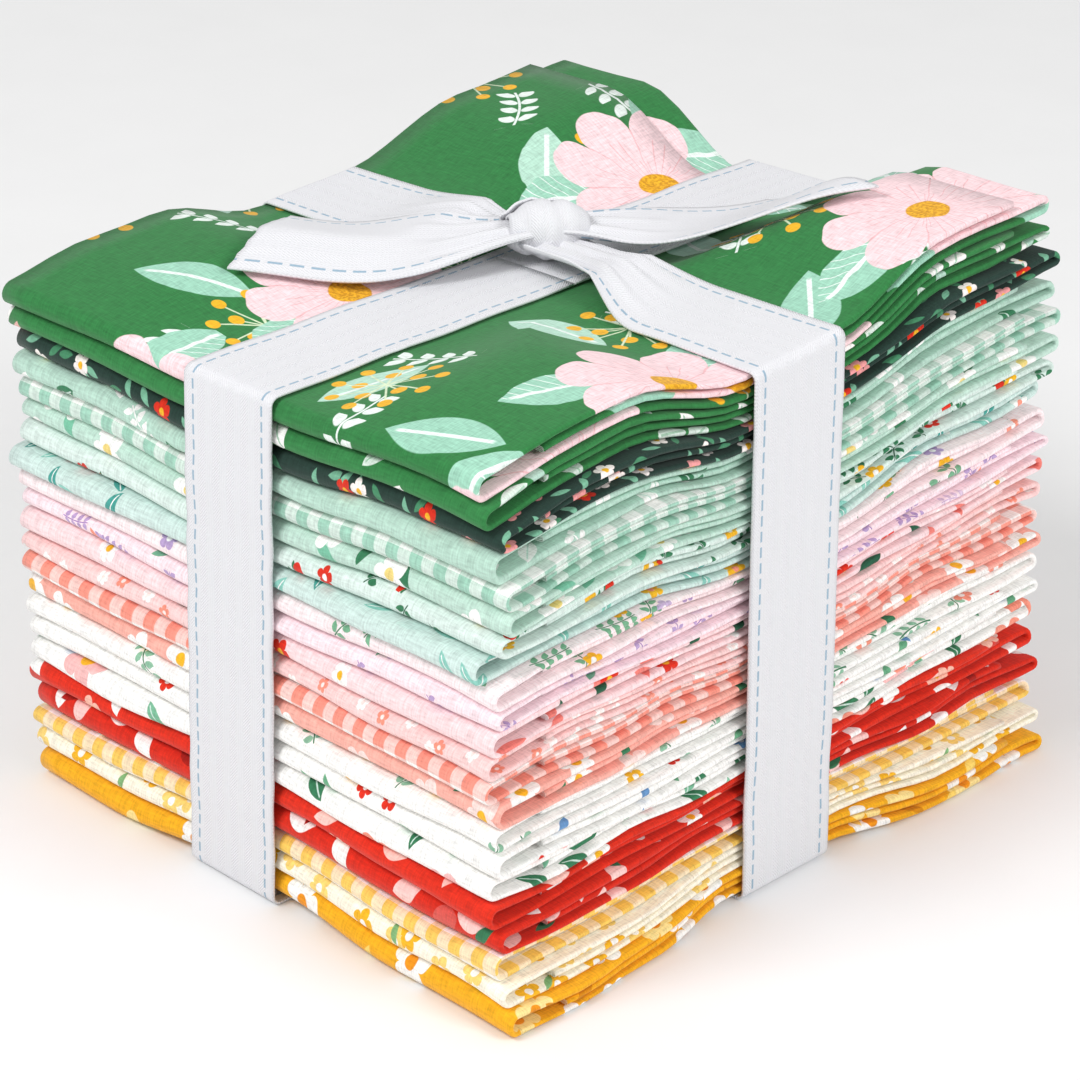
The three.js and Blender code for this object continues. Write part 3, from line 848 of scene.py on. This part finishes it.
def raised(x, y, z):
    """Height of a band point once the stack's real top is under it."""
    share = np.clip((z - CORNER_RADIUS) / (STACK_HEIGHT - CORNER_RADIUS), 0, 1)
    return z + (top_height(x, y) - STACK_HEIGHT) * share


def band_along_y(across):
    front = -FOLD_Y / 2 - (1 - PULL_IN) * 3.6 - FACE_GAP
    back = FOLD_Y / 2 + FACE_GAP
    path, length = loop_path(front, back, 0.0)
    s, z = path[:, 0][:, None], path[:, 1][:, None]
    w = across[None, :]
    x = RIBBON_X + w - DRIFT * (1 - z / STACK_HEIGHT) * np.clip(0.5 - s / FOLD_Y, 0, 1)
    y = np.broadcast_to(s, x.shape).copy()
    on_side = smooth(6, 20, z) * (1 - smooth(STACK_HEIGHT - 20, STACK_HEIGHT - 6, z))
    y = y + on_side * np.sign(s) * side_waves(21, s, z + 0 * w, np.sign(s))
    height = raised(x, y, z + 0 * w)
    return np.stack([x, y, height], 2), np.stack([w + 0 * s, length[:, None] + 0 * w], 2)


def band_along_x(across):
    far = -FOLD_X / 2 - 0.9 - FACE_GAP
    near = FOLD_X / 2 + (1 - PULL_IN) * 5.4 + FACE_GAP
    path, length = loop_path(far, near, KNOT_X)
    s, z = path[:, 0][:, None], path[:, 1][:, None]
    on_top = smooth(STACK_HEIGHT - 3, STACK_HEIGHT, z)
    close = under_ribbon(s - KNOT_X) * on_top
    w = across[None, :] * (1 - 0.54 * close)
    y = RIBBON_Y - w + (KNOT_Y - RIBBON_Y) * 0.75 * close
    x = np.broadcast_to(s, y.shape).copy()
    on_side = smooth(6, 20, z) * (1 - smooth(STACK_HEIGHT - 20, STACK_HEIGHT - 6, z))
    x = x + on_side * np.sign(s) * side_waves(33, s, z + 0 * w, np.sign(s))
    crossing = smooth(19, 14, np.abs(s - RIBBON_X)) * (1 - smooth(2, 10, z))
    pleats = np.cos(across[None, :] * 0.95 + 0.6) + 0.5 * np.cos(across[None, :] * 1.75 + 2.0)
    lift = close * (4.6 + 0.85 * pleats) + 0.62 * crossing
    tent = on_top * 1.2 * np.exp(-((np.abs(s - KNOT_X) - 26) / 14) ** 2)
    bow = 1 - (across[None, :] / (RIBBON_WIDTH / 2)) ** 2
    height = raised(x, y, z + 0 * w) + lift + tent * bow
    return np.stack([x, y, height], 2), np.stack([across[None, :] + 0 * s, length[:, None] + 0 * w], 2)


def knot_frame(along, across):
    turn = math.radians(KNOT_ANGLE)
    return (KNOT_X + along * math.cos(turn) - across * math.sin(turn),
            KNOT_Y + along * math.sin(turn) + across * math.cos(turn))


def knot_wrap(across):
    """One turn of gathered ribbon round the crossing, a little over a full round."""
    angle = np.linspace(-0.6, 2.3 * math.pi, 72)[:, None]
    t = (across / (RIBBON_WIDTH / 2))[None, :]
    profile = 0.4 + 0.6 * np.cos(t * math.pi / 2 * 0.97) ** 0.75
    crease = np.abs(np.cos(3.4 * t + 0.7 * np.sin(angle + 0.4) + 0.5))
    gathers = 0.95 * crease ** 0.7 - 0.6 + 0.12 * np.cos(13 * t + 1.5 * np.sin(2 * angle))
    spiral = 0.5 * angle / (2 * math.pi)
    wide = (5.7 + spiral + gathers) * profile
    tall = (5.6 + spiral + gathers) * profile
    slip = 1.1 * np.sin(angle * 0.5 + 0.3)
    x, y = knot_frame(8.2 * t + slip, wide * np.cos(angle))
    middle = float(top_height(KNOT_X, KNOT_Y)) + 7.4
    z = middle + tall * np.sin(angle)
    return np.stack([x, y, z], 2), np.stack([0.7 * across[None, :] + 0 * angle, 6.0 * angle + 0 * t], 2)


def tail(across, heading, length, bend, root, tip, roll, slant, arch, seed):
    turn = math.radians(heading)
    d = np.linspace(0.02, 1, 46)[:, None]
    side = (across / (RIBBON_WIDTH / 2))[None, :]
    half = (RIBBON_WIDTH / 2) * (0.4 + 0.6 * smooth(0, 0.48, d))
    fray = 0.16 * ripple(seed, across[None, :], 0.0, 1.0, 3.0) * d ** 12
    along = length * d + side * slant * 0.5 * d ** 3 + fray
    sideways = side * half + bend * d ** 2
    x = KNOT_X + along * math.cos(turn) - sideways * math.sin(turn)
    y = KNOT_Y + along * math.sin(turn) + sideways * math.cos(turn)
    settle = smooth(0, 0.8, d)
    lift = root * (1 - settle) + (tip + roll * side) * settle + arch * np.sin(math.pi * d) * (1 - side ** 2)
    pleats = np.cos(across[None, :] * 0.85 + seed) + 0.5 * np.cos(across[None, :] * 1.7 + 1.0)
    lift = lift + 0.75 * pleats * (1 - smooth(0.12, 0.55, d))
    z = top_height(x, y) + RIBBON_SEAT + lift
    return np.stack([x, y, z], 2), np.stack([across[None, :] + 0 * d, length * d + 0 * side], 2)


def build_ribbon():
    tape = tape_material()
    across = np.linspace(-RIBBON_WIDTH / 2, RIBBON_WIDTH / 2, 25)
    strips = [band_along_y(across), band_along_x(across), knot_wrap(across)]
    strips += [tail(across, seed=k + 3, **row) for k, row in enumerate(TAILS)]
    pieces = []
    for k, (middle, uv) in enumerate(strips):
        pieces.append(sheet_mesh(f"tape_{k}", middle, RIBBON_THICK, uv, [tape, tape]))
    with bpy.context.temp_override(active_object=pieces[0], selected_editable_objects=pieces):
        bpy.ops.object.join()
    ribbon = pieces[0]
    ribbon.name = "ribbon_tape"
    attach(ribbon, "root")
    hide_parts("ribbon")


# The floor and the lights, in metres and watts.
FLOOR_HALF, FLOOR_Z = 4.0, -0.0002
WORLD_STRENGTH = 0.56
LIGHTS = [
    dict(name="key", place=(-0.15, -0.95, 1.15), aim=(0, 0, 0.08), size=0.5, power=10.0),
    dict(name="side", place=(1.15, 0.15, 0.9), aim=(0, 0, 0.06), size=0.6, power=7.5),
]


def build_floor():
    mesh = bpy.data.meshes.new("floor")
    signs = [(-1, -1), (1, -1), (1, 1), (-1, 1)]
    corners = [(sx * FLOOR_HALF, sy * FLOOR_HALF, FLOOR_Z) for sx, sy in signs]
    mesh.from_pydata(corners, [], [(0, 1, 2, 3)])
    floor = bpy.data.objects.new("floor", mesh)
    bpy.context.scene.collection.objects.link(floor)
    material, n, shader = cotton("floor_paint")
    coords = n.new("ShaderNodeTexCoord")
    speckle = n.noise(coords.outputs["Object"], 40.0, 2.0)
    n.put(n.mix(speckle, (0.9, 0.9, 0.9, 1), (0.93, 0.93, 0.93, 1)), shader.inputs["Base Color"])
    shader.inputs["Roughness"].default_value = 0.9
    mesh.materials.append(material)


def area_light(name, place, aim, size, power):
    light = bpy.data.lights.new(name, "AREA")
    light.shape = "DISK"
    light.size = size
    light.energy = power
    lamp = bpy.data.objects.new(name, light)
    direction = np.array(aim) - np.array(place)
    back = -direction / np.linalg.norm(direction)
    right = np.cross([0, 0, 1], back)
    right = right / np.linalg.norm(right)
    up = np.cross(back, right)
    axes = np.stack([right, up, back], 1).tolist()
    lamp.matrix_world = Matrix([[*row, p] for row, p in zip(axes, place)] + [[0, 0, 0, 1]])
    bpy.context.scene.collection.objects.link(lamp)


def build_studio():
    world = bpy.data.worlds.new("studio")
    world.use_nodes = True
    backdrop = world.node_tree.nodes["Background"]
    backdrop.inputs[0].default_value = (1.0, 1.0, 1.0, 1.0)
    backdrop.inputs[1].default_value = WORLD_STRENGTH
    bpy.context.scene.world = world
    for row in LIGHTS:
        area_light(**row)
    bpy.context.scene.view_settings.view_transform = "Standard"
    bpy.context.scene.view_settings.look = "None"


# The camera of the photograph: place in millimetres and its right, up and back directions.
CAMERA_PLACE = (578.9, -569.2, 474.2)
CAMERA_RIGHT = (0.7014, 0.7128, 0.0)
CAMERA_UP = (-0.3288, 0.3236, 0.8873)
CAMERA_BACK = (0.6324, -0.6223, 0.4613)
CAMERA_LENS = 144.96


def build_camera():
    data = bpy.data.cameras.new("camera")
    data.lens = CAMERA_LENS
    data.sensor_width = 36.0
    data.clip_start = 0.01
    camera = bpy.data.objects.new("camera", data)
    axes = zip(CAMERA_RIGHT, CAMERA_UP, CAMERA_BACK, CAMERA_PLACE)
    camera.matrix_world = Matrix([[r, u, b, c * MM] for r, u, b, c in axes] + [[0, 0, 0, 1]])
    bpy.context.scene.collection.objects.link(camera)
    bpy.context.scene.camera = camera


build_camera()
build_studio()
build_floor()
build_cloths()
build_ribbon()
